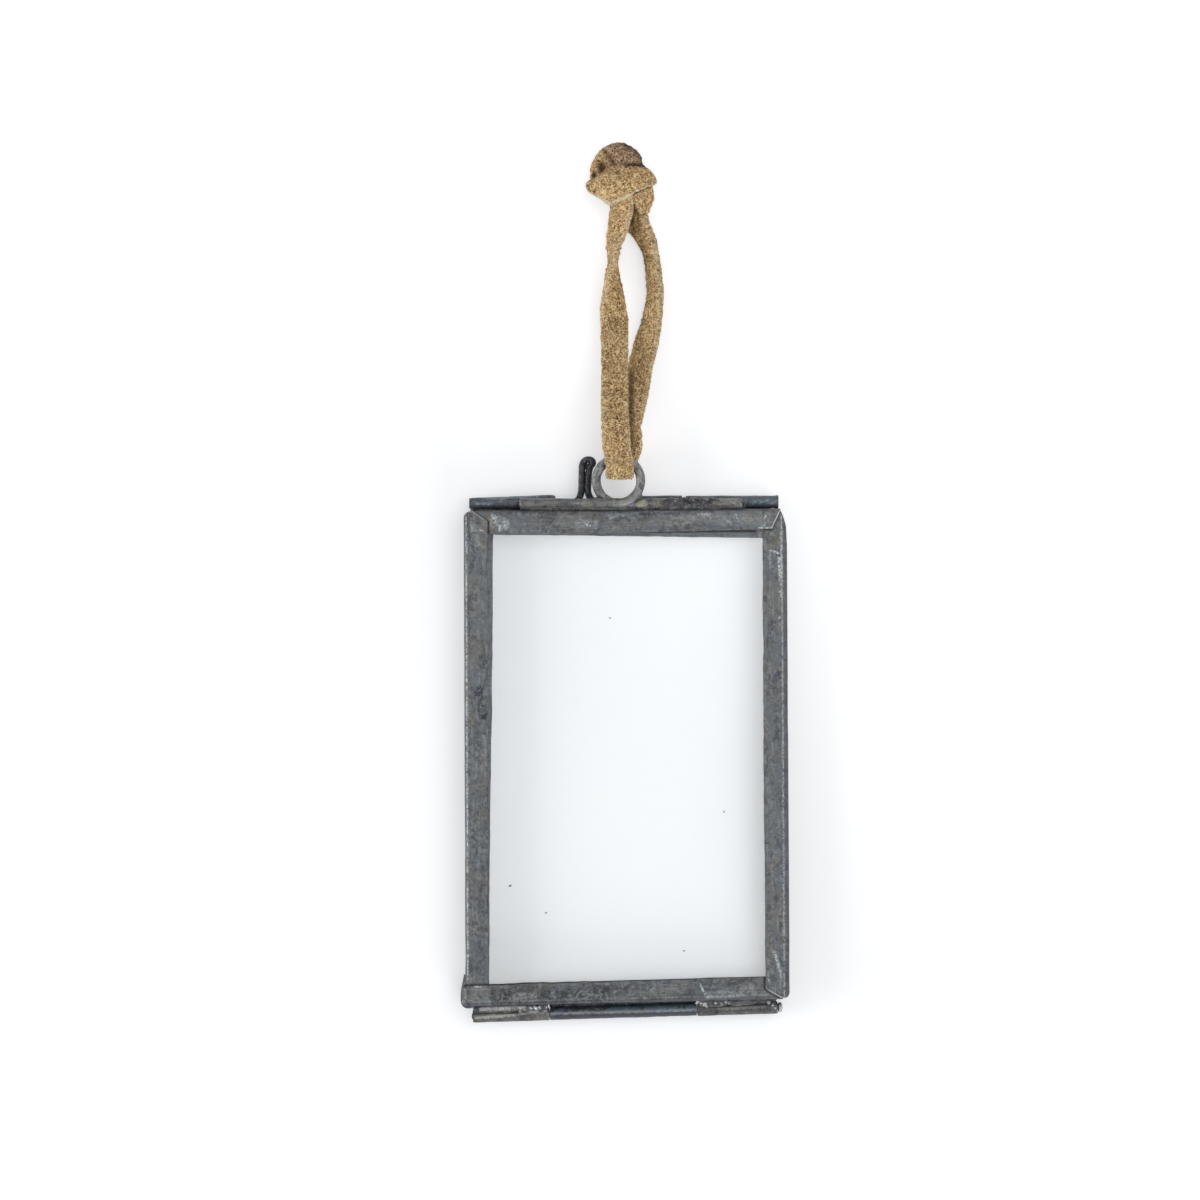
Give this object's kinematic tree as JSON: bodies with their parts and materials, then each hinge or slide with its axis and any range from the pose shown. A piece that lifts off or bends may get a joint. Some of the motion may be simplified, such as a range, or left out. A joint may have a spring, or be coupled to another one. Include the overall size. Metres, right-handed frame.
{
  "type": "hinged glass picture frame",
  "caption": "Small hanging picture frame: two glass panes in zinc came, hinged along the bottom, with a sliding latch bolt, a wire ring and a suede lace.",
  "frame": {"origin": "centre of the underside of the box round the rigid pieces; the frame lies on its back", "axes": "+X to the right along the hinge side, +Y towards the ring and lace (up when it hangs), +Z out of the front glass"},
  "size_m": [0.06, 0.1633, 0.0095],
  "materials": {
    "zinc_came": "patinated zinc sheet, satin",
    "zinc_tube": "dark patinated zinc, satin",
    "wire": "dark patinated wire, satin",
    "solder": "dull tin solder",
    "pane": "clear polished",
    "suede": "tan suede, matt",
    "suede_dark": "brown suede, matt"
  },
  "bodies": {
    "rear_leaf": {"rear_glass": "pane", "rear_left_came": "zinc_came", "rear_top_came": "zinc_came", "rear_right_came": "zinc_came", "rear_bottom_came": "zinc_came", "rear_hinge_knuckle": "zinc_tube", "rear_hinge_knuckle_solder": "solder", "latch_left_tube": "zinc_tube", "latch_left_tube_solder": "solder", "latch_right_tube": "zinc_tube", "latch_right_tube_solder": "solder"},
    "front_leaf": {"front_glass": "pane", "front_left_came": "zinc_came", "front_top_came": "zinc_came", "front_right_came": "zinc_came", "front_bottom_came": "zinc_came", "front_left_knuckle": "zinc_tube", "front_left_knuckle_solder": "solder", "front_right_knuckle": "zinc_tube", "front_right_knuckle_solder": "solder", "hinge_pin": "wire", "hinge_pin_bead": "solder", "latch_keeper_tube": "zinc_tube", "latch_keeper_tube_solder": "solder", "hanging_ring": "wire", "ring_left_solder": "solder", "ring_right_solder": "solder", "hanging_lace": "suede", "lace_knot": "suede_dark"},
    "latch": {"latch_bolt": "wire"}
  },
  "joints": [
    {"name": "leaf_hinge", "type": "hinge", "parent": "rear_leaf", "child": "front_leaf", "pos_m": [0.00007, -0.05072, 0.00295], "axis": [0.9996, 0.03, 0], "range_deg": [0, 180]},
    {"name": "latch_slide", "type": "slide", "parent": "rear_leaf", "child": "latch", "axis": [1, 0, 0], "range_m": [-0.0035, 0.0076]}
  ]
}
